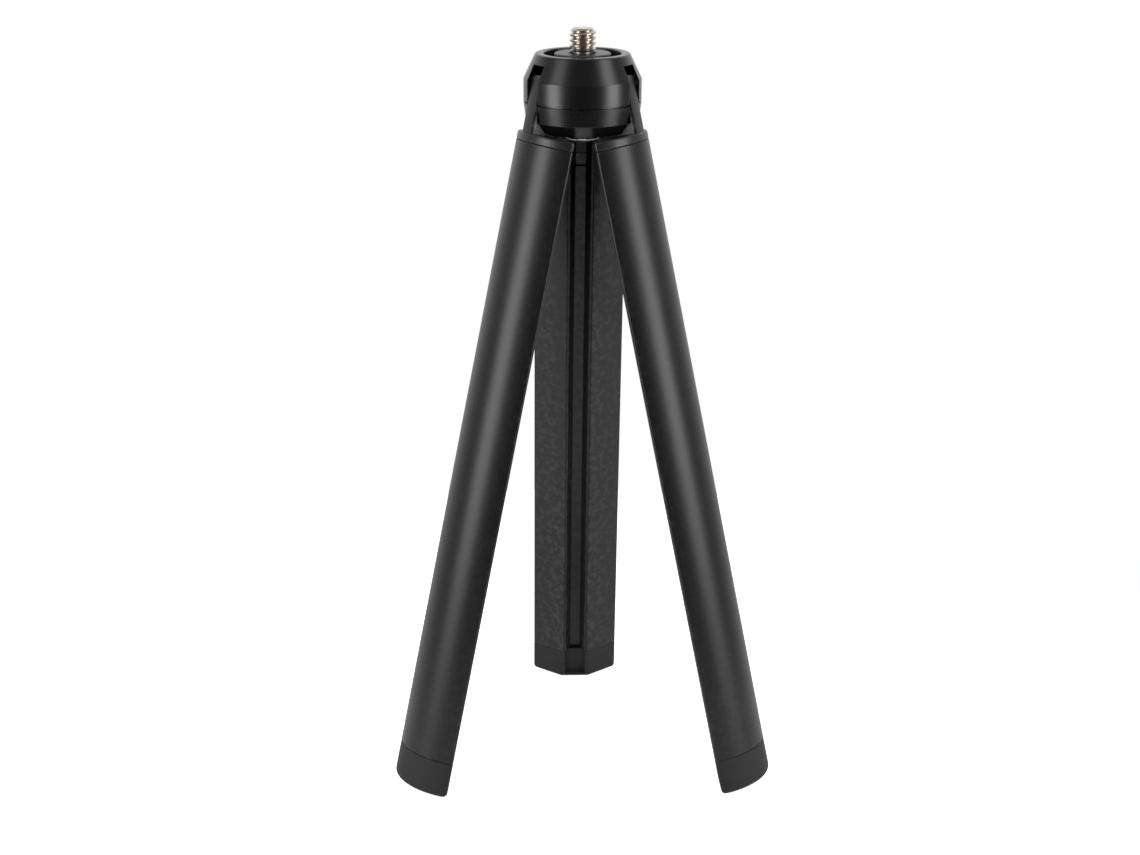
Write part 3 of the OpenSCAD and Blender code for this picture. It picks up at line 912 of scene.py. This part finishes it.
def thread_tree():
    """A Geometry Nodes tree that turns a helical thread, open below and closed at its tip."""
    tree = bpy.data.node_groups.new("Helical Thread", "GeometryNodeTree")
    for label, kind in THREAD_INPUTS.items():
        tree.interface.new_socket(label, in_out="INPUT", socket_type=kind)
    tree.interface.new_socket("Geometry", in_out="OUTPUT", socket_type="NodeSocketGeometry")
    inp, out = add_node(tree, "NodeGroupInput").outputs, add_node(tree, "NodeGroupOutput")
    calc = calculator(tree)

    grid = add_node(tree, "GeometryNodeMeshGrid", {
        "Size X": 1.0, "Size Y": 1.0, "Vertices X": calc("ADD", inp["Segments"], 1.0),
        "Vertices Y": inp["Rows"],
    })
    where = add_node(tree, "GeometryNodeInputPosition").outputs[0]
    split = add_node(tree, "ShaderNodeSeparateXYZ", {0: where}).outputs
    turn = calc("ADD", split["X"], 0.5)
    height = calc("MULTIPLY", calc("ADD", split["Y"], 0.5), inp["Length"])
    phase = calc("FRACT", calc("SUBTRACT", calc("DIVIDE", height, inp["Pitch"]), turn))
    flank = calc("MULTIPLY", calc("ABSOLUTE", calc("SUBTRACT", phase, 0.5)), 2.0)
    crest = range_node(tree, flank, ROOT_AT, CREST_AT)
    depth = calc("SUBTRACT", inp["Major Radius"], inp["Root Radius"])
    radius = calc("ADD", inp["Root Radius"], calc("MULTIPLY", crest, depth))
    slope = calc("DIVIDE", calc("SUBTRACT", inp["Major Radius"], inp["Tip Radius"]),
                 inp["Tip Height"])
    tip = calc("ADD", inp["Tip Radius"],
               calc("MULTIPLY", calc("SUBTRACT", inp["Length"], height), slope))
    run_in = calc("ADD", inp["Neck Radius"], calc("MULTIPLY", height, RUN_IN))
    radius = calc("MINIMUM", calc("MINIMUM", radius, tip), run_in)
    angle = calc("MULTIPLY", turn, 2 * math.pi)
    place = add_node(tree, "ShaderNodeCombineXYZ", {
        "X": calc("MULTIPLY", radius, calc("COSINE", angle)),
        "Y": calc("MULTIPLY", radius, calc("SINE", angle)),
        "Z": calc("ADD", height, inp["Start"]),
    })
    wall = add_node(tree, "GeometryNodeSetPosition", {
        "Geometry": grid.outputs["Mesh"], "Position": place.outputs[0],
    })

    cap = add_node(tree, "GeometryNodeMeshCircle", {
        "Vertices": inp["Segments"], "Radius": inp["Tip Radius"],
    })
    cap.fill_type = "NGON"
    raised = add_node(tree, "ShaderNodeCombineXYZ", {
        "Z": calc("ADD", inp["Length"], inp["Start"]),
    })
    lift = add_node(tree, "GeometryNodeTransform", {
        "Geometry": cap.outputs["Mesh"], "Translation": raised.outputs[0],
    })
    joined = add_node(tree, "GeometryNodeJoinGeometry", {0: lift.outputs[0]})
    tree.links.new(wall.outputs[0], joined.inputs[0])
    merged = add_node(tree, "GeometryNodeMergeByDistance", {
        "Geometry": joined.outputs[0], "Distance": 0.0005,
    })
    scaled = add_node(tree, "GeometryNodeTransform", {
        "Geometry": merged.outputs[0], "Scale": (MM, MM, MM),
    })
    realized = add_node(tree, "GeometryNodeRealizeInstances", {0: scaled.outputs[0]})
    painted = add_node(tree, "GeometryNodeSetMaterial", {
        "Geometry": realized.outputs[0], "Material": inp["Material"],
    })
    tree.links.new(painted.outputs[0], out.inputs[0])
    return tree


def mesh_from_tree(tree, values):
    """Runs a Geometry Nodes tree with its named inputs, and gives its plain mesh."""
    holder = new_object("holder", bpy.data.meshes.new("holder"))
    modifier = holder.modifiers.new("tree", "NODES")
    modifier.node_group = tree
    for item in tree.interface.items_tree:
        if item.item_type == "SOCKET" and item.in_out == "INPUT" and item.name in values:
            modifier[item.identifier] = values[item.name]
    bpy.context.view_layer.update()
    graph = bpy.context.evaluated_depsgraph_get()
    mesh = bpy.data.meshes.new_from_object(holder.evaluated_get(graph))
    holder.modifiers.remove(modifier)
    bpy.data.objects.remove(holder)
    if not mesh.polygons:
        raise RuntimeError(f"{tree.name} made no faces")
    return mesh


THREAD_ROWS = 150
TAP_CHAMFER = 0.6  # height of the cone that ends the tapped hole


def joined_mesh(name, meshes):
    """One mesh of several, with the points that meet merged."""
    bm = bmesh.new()
    for mesh in meshes:
        bm.from_mesh(mesh)
        bpy.data.meshes.remove(mesh)
    bmesh.ops.remove_doubles(bm, verts=bm.verts, dist=2e-6)
    bmesh.ops.recalc_face_normals(bm, faces=bm.faces)
    mesh = bpy.data.meshes.new(name)
    bm.to_mesh(mesh)
    bm.free()
    return mesh


class TRIPOD_OT_camera_stud(bpy.types.Operator):
    """Build the threaded camera stud with its collar and its tapped shank"""

    bl_idname = "tripod.camera_stud"
    bl_label = "Camera Stud"

    def execute(self, context):
        s, m = head_sizes(), metal_sizes()
        material = finish_material("stud")
        floor = s.upper_height - s.well_depth
        start = s.upper_height + m.neck_height
        neck = m.neck_diameter / 2
        bottom = floor - m.collar_height
        tapped = m.shank_end + m.tapped_depth
        body = turned("stud", [
            (0, tapped), (m.screw_diameter / 2, tapped - TAP_CHAMFER),
            (m.screw_diameter / 2, m.shank_end),
            (m.shank_diameter / 2 - 0.3, m.shank_end), (m.shank_diameter / 2, m.shank_end + 0.3),
            (m.shank_diameter / 2, bottom), (0, bottom, m.collar_flats),
            (0, floor, m.collar_flats), (neck, floor), (neck, start),
        ], m.thread_segments, closed=False)
        thread = mesh_from_tree(thread_tree(), {
            "Major Radius": m.thread_diameter / 2, "Root Radius": m.root_diameter / 2,
            "Neck Radius": neck, "Tip Radius": m.tip_diameter / 2, "Pitch": m.pitch,
            "Length": m.stud_height - m.neck_height, "Tip Height": m.tip_height, "Start": start,
            "Segments": m.thread_segments, "Rows": THREAD_ROWS, "Material": material,
        })
        finish_piece(joined_mesh("stud", [body, thread]), "threaded_stud", "head",
                     material, ["camera_stud"], head_place())
        return {"FINISHED"}


class TRIPOD_OT_retaining_screw(bpy.types.Operator):
    """Build the domed screw under the head"""

    bl_idname = "tripod.retaining_screw"
    bl_label = "Retaining Screw"

    def execute(self, context):
        s, m = head_sizes(), metal_sizes()
        seat = -s.belly_height - m.washer_thickness
        rim = m.dome_diameter / 2
        side = seat - m.dome_height + m.crown_height
        ball = (rim * rim + m.crown_height ** 2) / (2 * m.crown_height)

        def dome(radius):
            return seat - m.dome_height + ball - math.sqrt(ball * ball - radius * radius)

        shaft = m.screw_diameter / 2 - FIT / 2
        end = m.shank_end + m.tapped_depth - TAP_CHAMFER
        hexagon = m.socket_flats / 2 / math.cos(math.pi / 6)
        steps = 14
        rows = [(0, end), (shaft - 0.3, end), (shaft, end - 0.3), (shaft, seat),
                (rim - 0.1, seat), (rim, seat - 0.1), (rim, side + 0.14), (rim - 0.03, side + 0.05)]
        for i in range(steps + 1):
            radius = rim - 0.12 + (hexagon + 0.25 - rim + 0.12) * i / steps
            rows.append((radius, dome(radius)))
        rows += [(0, dome, m.socket_flats + 0.16),
                 (0, lambda radius: dome(radius) + 0.1, m.socket_flats),
                 (0, seat - m.dome_height + m.socket_depth, m.socket_flats),
                 (0, seat - m.dome_height + m.socket_depth)]
        finish_piece(turned("screw", rows, 96), "domed_screw", "head",
                     finish_material("screw"), ["retaining_screw"], head_place())
        return {"FINISHED"}


# ---------------------------------------------------------------- legs


def collar_top():
    return -(head_sizes().belly_height + leg_sizes().head_gap)


def tube_top():
    return collar_top() - leg_sizes().collar_height


def tube_end():
    return tube_top() - leg_sizes().tube_length


def at_height(section, z):
    return [(x, y, z) for x, y in section]


def edge_rows(z, toward, radius, edge, steps=3, foot=False):
    """Loops of a leg's section that round an edge, from z over a radius toward +z or -z."""
    loops = []
    for i in range(steps + 1):
        angle = math.pi / 2 * i / steps
        inset = radius * (1 - math.sin(angle))
        loops.append(at_height(leg_section(inset, edge, foot),
                               z + toward * radius * (1 - math.cos(angle))))
    return loops


def screw_pocket():
    """Room between the folded collars for the domed screw, for a cut."""
    s, m = head_sizes(), metal_sizes()
    radius = m.dome_diameter / 2 + 0.7
    low = -(s.belly_height + m.washer_thickness + m.dome_height + 0.25)
    return turned("pocket", [(0, low), (radius, low), (radius, 0), (0, 0)], 96)


def tab_window(gap):
    """The yoke's snap tab with a gap round it, for a cut."""
    s = leg_sizes()
    floor_x = leg_section(0, 0)[0][0]
    top = tube_top() - s.tab_drop
    half = s.tab_width / 2 + gap
    return block("window", (floor_x - 1, floor_x + s.wall + 0.5), (-half, half),
                 (top - s.tab_height - gap, top + gap))


PER_UV = 10  # of the UV map's units, decimetres, in a metre
ROUND_FROM = 0.0115  # distance in metres from the axis beyond which a tube is its round outside


def lay_uv(mesh):
    """A UV map on a leg's tube, with U round it and V along it, in decimetres."""
    layer = mesh.uv_layers.new(name="UVMap")
    round_radius = leg_sizes().radius * MM
    for polygon in mesh.polygons:
        is_end = abs(polygon.normal.z) > 0.7
        for loop in polygon.loop_indices:
            x, y, z = mesh.vertices[mesh.loops[loop].vertex_index].co
            if is_end:
                u, v = x, y
            elif math.hypot(x, y) > ROUND_FROM:
                u, v = math.atan2(y, x) * round_radius, z
            else:
                u, v = y + abs(x) * 0.5, z
            layer.data[loop].uv = (u * PER_UV, v * PER_UV)


def place_legs(mesh, name, material, node):
    """Puts a copy of a leg's mesh on each leg, in place of its CAD node."""
    for side in SIDES:
        finish_piece(mesh.copy(), f"{name}_{side}", "leg_" + side, material,
                     [f"{node}_{side}"], leg_place(side))
    bpy.data.meshes.remove(mesh)


def tongue_flange():
    """The strip of the head's round outside that is a tongue's flange."""
    h, s = head_sizes(), leg_sizes()
    radius, inner = h.diameter / 2, h.diameter / 2 - s.flange
    slope = (radius - h.rim_diameter / 2) / (h.upper_height - h.rim_edge - h.belt_height)
    top, half, corner, edge = s.tongue_height, s.tongue_width / 2, s.tongue_corner, 0.3
    heights = [collar_top() - 0.6, collar_top() - 0.2, collar_top() + 0.15, -3, 0, 3]
    heights += [h.belt_height - 0.1, h.belt_height + 0.1]
    heights = [z for z in heights if z < top - corner]
    heights += [top - corner + corner * math.sin(math.pi / 2 * i / 6) for i in range(6)]
    columns = [k / 10 for k in range(-10, 11)]

    def loop_at(z, shrink):
        over = max(0.0, z - (top - corner))
        wide = half - corner + math.sqrt(max(corner * corner - over * over, 0.0)) - shrink
        face = radius - max(0.0, z - h.belt_height) * slope - shrink
        if z < collar_top():
            face -= 0.2
        back = inner + shrink
        front = []
        for k in columns:
            y = wide * k
            from_edge = wide - abs(y)
            dip = edge - math.sqrt(max(edge * edge - max(edge - from_edge, 0) ** 2, 0))
            front.append((math.sqrt(face * face - y * y) - dip, y, z))
        rear = [(math.sqrt(back * back - (wide * k) ** 2), wide * k, z) for k in columns[::-1]]
        return front + rear

    loops = [loop_at(z, 0.0) for z in heights]
    return loft("flange", loops + [loop_at(top - 0.04, 0.04), loop_at(top, 0.16)])


def tongue_web():
    """The plate behind the flange, which the hinge pin goes through."""
    h, s = head_sizes(), leg_sizes()
    web_in = h.hub_radius + 0.2
    web_out = h.diameter / 2 - s.flange / 2
    top = s.tongue_height
    stop_in = HINGE_R + (
        top * math.sin(OPEN_ANGLE) - (HINGE_R - h.hub_radius) + 0.1
    ) / math.cos(OPEN_ANGLE)
    pin = metal_sizes().pin_diameter
    corners = [
        (web_in, tube_top() + 0.5, 0), (web_out, tube_top() + 0.5, 0),
        (web_out, top - s.flange, 0), (web_out - s.flange, top, 0.3),
        (stop_in, top, 0.2), (stop_in, pin, 0.5), (web_in, 0, 0.5),
        (web_in, tube_top() + 0.5, 0),
    ]
    outline = rounded_line(corners, 4)[:-1]
    half, edge = s.web / 2, 0.12
    centre = (sum(x for x, _ in outline) / len(outline), sum(z for _, z in outline) / len(outline))

    def drawn_in(amount):
        pulled = []
        for x, z in outline:
            dx, dz, _ = unit((x, z), centre)
            pulled.append((x + dx * amount, z + dz * amount))
        return pulled

    rows = ((-half, edge), (-half + edge, 0), (half - edge, 0), (half, edge))
    web = loft("web", [[(x, y, z) for x, z in drawn_in(amount)] for y, amount in rows])
    bore = bar_along_y("bore", pin / 2 + FIT, 2 * s.tongue_width)
    return combine(web, bore, "DIFFERENCE")


class TRIPOD_OT_leg_yokes(bpy.types.Operator):
    """Build the yoke on top of each leg: tongue, collar, plug and snap tab"""

    bl_idname = "tripod.leg_yokes"
    bl_label = "Leg Yokes"

    def execute(self, context):
        s = leg_sizes()
        top, low, gap = collar_top(), tube_top(), s.wall + s.plug_gap
        edge = s.tube_edge
        plug = leg_section(gap, edge)
        loops = [at_height(leg_section(gap + 0.3, edge), low - s.plug_length),
                 at_height(plug, low - s.plug_length + 0.3), at_height(plug, low),
                 at_height(plug, low + s.seam / 2)]
        loops += edge_rows(low + s.seam / 2, 1, 0.2, edge)
        loops += edge_rows(top, -1, s.collar_edge, edge, 4)[::-1]
        collar = loft("yoke", loops)
        floor_x = leg_section(0, 0)[0][0]
        tab_top = low - s.tab_drop
        tab = block("tab", (floor_x + s.tab_gap, floor_x + gap + 1),
                    (-s.tab_width / 2, s.tab_width / 2), (tab_top - s.tab_height, tab_top))
        yoke = combine(collar, soften(tab, 0.12, 60), "UNION")
        yoke = combine(yoke, tongue_web(), "UNION")
        yoke = combine(yoke, tongue_flange(), "UNION")
        yoke = combine(yoke, screw_pocket(), "DIFFERENCE")
        place_legs(yoke, "yoke", finish_material("yoke"), "leg_yoke")
        return {"FINISHED"}


class TRIPOD_OT_leg_tubes(bpy.types.Operator):
    """Build the extruded tube of each leg"""

    bl_idname = "tripod.leg_tubes"
    bl_label = "Leg Tubes"

    def execute(self, context):
        s = leg_sizes()
        top, low, edge = tube_top(), tube_end(), s.tube_edge
        loops = edge_rows(low, 1, edge, edge) + edge_rows(top, -1, edge, edge)[::-1]
        inside = leg_section(s.wall, edge)
        loops += [at_height(inside, top), at_height(inside, low)]
        tube = loft("tube", loops, ring=True)
        tube = combine(tube, tab_window(s.tab_gap), "DIFFERENCE")
        tube = combine(tube, screw_pocket(), "DIFFERENCE")
        lay_uv(tube)
        place_legs(tube, "tube", finish_material("tube"), "leg_tube")
        return {"FINISHED"}


class TRIPOD_OT_feet(bpy.types.Operator):
    """Build the rubber foot of each leg"""

    bl_idname = "tripod.feet"
    bl_label = "Feet"

    def execute(self, context):
        s = leg_sizes()
        top, low, gap = tube_end(), tube_end() - s.foot_height, s.wall + s.plug_gap
        loops = edge_rows(top - s.seam / 2, -1, 0.2, 0.4, 3, True)
        loops += edge_rows(low, 1, s.foot_edge, 0.4, 8, True)[::-1]
        foot = loft("foot", loops)
        plug = [at_height(leg_section(gap, s.tube_edge), z) for z in (top - 1, top + s.foot_plug)]
        foot = combine(foot, loft("plug", plug), "UNION")
        depth = leg_section(0, 0, True)[0][0] + s.groove_depth
        half = s.groove_width / 2
        groove = block("groove", (0, depth), (-half, half), (low + s.groove_stop, top + 1))
        foot = combine(foot, soften(groove, 0.25, 60), "DIFFERENCE")
        place_legs(foot, "foot_pad", finish_material("foot"), "foot")
        return {"FINISHED"}


class TRIPOD_OT_inner_fittings(bpy.types.Operator):
    """Give the pins and the washers inside the head their finishes"""

    bl_idname = "tripod.inner_fittings"
    bl_label = "Inner Fittings"

    def execute(self, context):
        finishes = {"retaining_washer": finish_material("steel")}
        for side in SIDES:
            finishes["hinge_pin_" + side] = finish_material("steel")
            finishes["friction_washers_" + side] = finish_material("nylon")
        for node, material in finishes.items():
            slots = frame["nodes"][node].material_slots
            if not slots:
                raise RuntimeError(f"{node} has no material slot")
            for slot in slots:
                slot.material = material
        return {"FINISHED"}


# ---------------------------------------------------------------- stage


CAMERA_PLACE = (8.23, -513.8, 81.0493)  # in millimetres from the split plane, before the turn
CAMERA_TURN = math.radians(-3.06)
CAMERA_HEADING, CAMERA_PITCH, CAMERA_ROLL = -0.0214, 0.3062, 0.0024
CAMERA_LENS, CAMERA_SENSOR = 68.543242, 36  # in millimetres


def set_camera():
    f = Vector((math.sin(CAMERA_HEADING) * math.cos(CAMERA_PITCH),
                math.cos(CAMERA_HEADING) * math.cos(CAMERA_PITCH), -math.sin(CAMERA_PITCH)))
    side = f.cross(Vector((0, 0, 1))).normalized()
    up = side.cross(f)
    x_axis = side * math.cos(CAMERA_ROLL) + up * math.sin(CAMERA_ROLL)
    y_axis = up * math.cos(CAMERA_ROLL) - side * math.sin(CAMERA_ROLL)
    turn = Matrix.Rotation(CAMERA_TURN, 4, "Z")
    place = Matrix.Identity(4)
    for column, axis in enumerate((x_axis, y_axis, -f)):
        for row in range(3):
            place[row][column] = axis[row]
    place.translation = Vector(CAMERA_PLACE) * MM
    camera = bpy.data.objects.new("camera", bpy.data.cameras.new("camera"))
    camera.data.lens, camera.data.sensor_width = CAMERA_LENS, CAMERA_SENSOR
    camera.data.clip_start, camera.data.clip_end = 0.01, 20
    camera.matrix_world = Matrix.Translation((0, 0, HINGE_Z * MM)) @ turn @ place
    bpy.context.scene.collection.objects.link(camera)
    bpy.context.scene.camera = camera


LIGHT_DISTANCE, LIGHT_WIDTH = 0.32, 0.14
# Each side's azimuth in degrees, and its upright strips of soft light: lowest and highest point
# in metres, and radiance
LIGHT_STRIPS = (
    ("left", 211, ((-0.10, 0.055, 1.25), (0.055, 0.30, 6.6), (0.30, 0.60, 2.5))),
    ("right", 328, ((-0.10, 0.055, 1.35), (0.055, 0.30, 6.3), (0.30, 0.60, 4.2))),
)


def softbox(name, azimuth, low, high, radiance):
    """An upright strip of soft light that faces the tripod's axis, unseen by the camera."""
    light = bpy.data.lights.new(name, "AREA")
    light.shape, light.size, light.size_y = "RECTANGLE", LIGHT_WIDTH, high - low
    light.energy = radiance * math.pi * LIGHT_WIDTH * (high - low)
    lamp = bpy.data.objects.new(name, light)
    angle, height = math.radians(azimuth), (low + high) / 2
    lamp.location = (LIGHT_DISTANCE * math.cos(angle), LIGHT_DISTANCE * math.sin(angle), height)
    aim = Vector((0, 0, height)) - lamp.location
    lamp.rotation_euler = aim.to_track_quat("-Z", "Y").to_euler()
    lamp.visible_camera = False
    bpy.context.scene.collection.objects.link(lamp)


def studio_world():
    """White behind the object and dim in front of it, and plain white as a background."""
    world = bpy.data.worlds.new("studio")
    bpy.context.scene.world = world
    world.use_nodes = True
    tree = world.node_tree
    tree.nodes.clear()
    calc = calculator(tree)
    where = add_node(tree, "ShaderNodeTexCoord").outputs["Generated"]
    towards = add_node(tree, "ShaderNodeSeparateXYZ", {0: where}).outputs
    behind = range_node(tree, towards["Y"], -0.1, 0.8, 0.012, 1.2)
    below = range_node(tree, towards["Z"], -0.35, 0.0, 0.45, 1.0)
    above = range_node(tree, towards["Z"], 0.5, 1.0, 0.0, 0.25)
    strength = calc("ADD", calc("MULTIPLY", behind, below), above)
    light = add_node(tree, "ShaderNodeBackground", {"Color": WHITE, "Strength": strength})
    white = add_node(tree, "ShaderNodeBackground", {"Color": WHITE})
    seen = add_node(tree, "ShaderNodeLightPath").outputs["Is Camera Ray"]
    mix = add_node(tree, "ShaderNodeMixShader", {0: seen, 1: light.outputs[0], 2: white.outputs[0]})
    add_node(tree, "ShaderNodeOutputWorld", {0: mix.outputs[0]})


def studio_floor():
    """A round white table top that glows a little, so that it has only faint shadows."""
    mesh = turned("table_top", [(0, 0), (200, 0), (202, -1), (0, -1.5)], 96)
    floor = new_object("table_top", mesh)
    material = bpy.data.materials.new("White Table")
    material.use_nodes = True
    tree = material.node_tree
    shader = tree.nodes["Principled BSDF"].inputs
    paper = noise_node(tree, object_coordinates(tree), 30.0, 3.0)
    seen = add_node(tree, "ShaderNodeLightPath").outputs["Is Camera Ray"]
    for label, value in {
        "Roughness": 0.9, "Specular IOR Level": 0.1, "Emission Color": WHITE,
        "Base Color": mix_colour(tree, paper, (0.80, 0.80, 0.80), (0.84, 0.84, 0.84)),
        "Emission Strength": range_node(tree, seen, 0, 1, 0.15, 0.85),
    }.items():
        feed(tree, shader[label], value)
    mesh.materials.append(material)


class TRIPOD_OT_stage(bpy.types.Operator):
    """Set the camera, the lights and the table top"""

    bl_idname = "tripod.stage"
    bl_label = "Stage"

    def execute(self, context):
        set_camera()
        studio_world()
        studio_floor()
        for name, azimuth, strips in LIGHT_STRIPS:
            for i, (low, high, radiance) in enumerate(strips):
                softbox(f"softbox_{name}_{i}", azimuth, low, high, radiance)
        context.scene.view_settings.view_transform = "Standard"
        return {"FINISHED"}


# ---------------------------------------------------------------- panel and run


OPERATORS = (
    TRIPOD_OT_head_shells,
    TRIPOD_OT_camera_seat,
    TRIPOD_OT_camera_stud,
    TRIPOD_OT_retaining_screw,
    TRIPOD_OT_leg_yokes,
    TRIPOD_OT_leg_tubes,
    TRIPOD_OT_feet,
    TRIPOD_OT_inner_fittings,
    TRIPOD_OT_stage,
)


class TRIPOD_PT_panel(bpy.types.Panel):
    """Sizes, colours and build steps of the tripod"""

    bl_idname = "TRIPOD_PT_panel"
    bl_label = "Tabletop Tripod"
    bl_space_type = "VIEW_3D"
    bl_region_type = "UI"
    bl_category = "Tripod"

    def draw(self, context):
        settings = context.scene.tripod
        for group in (settings.head, settings.metal, settings.leg, settings.finish):
            box = self.layout.box()
            for name in group.__annotations__:
                box.prop(group, name)
        for operator in OPERATORS:
            self.layout.operator(operator.bl_idname)


CLASSES = (
    TripodHeadSizes, TripodMetalSizes, TripodLegSizes, TripodFinishes, TripodSettings,
    *OPERATORS, TRIPOD_PT_panel,
)


def register():
    for cls in CLASSES:
        bpy.utils.register_class(cls)
    bpy.types.Scene.tripod = PointerProperty(type=TripodSettings)


def unregister():
    del bpy.types.Scene.tripod
    for cls in reversed(CLASSES):
        bpy.utils.unregister_class(cls)


def main():
    register()
    for operator in OPERATORS:
        group, name = operator.bl_idname.split(".")
        getattr(getattr(bpy.ops, group), name)()


if __name__ == "__main__":
    main()
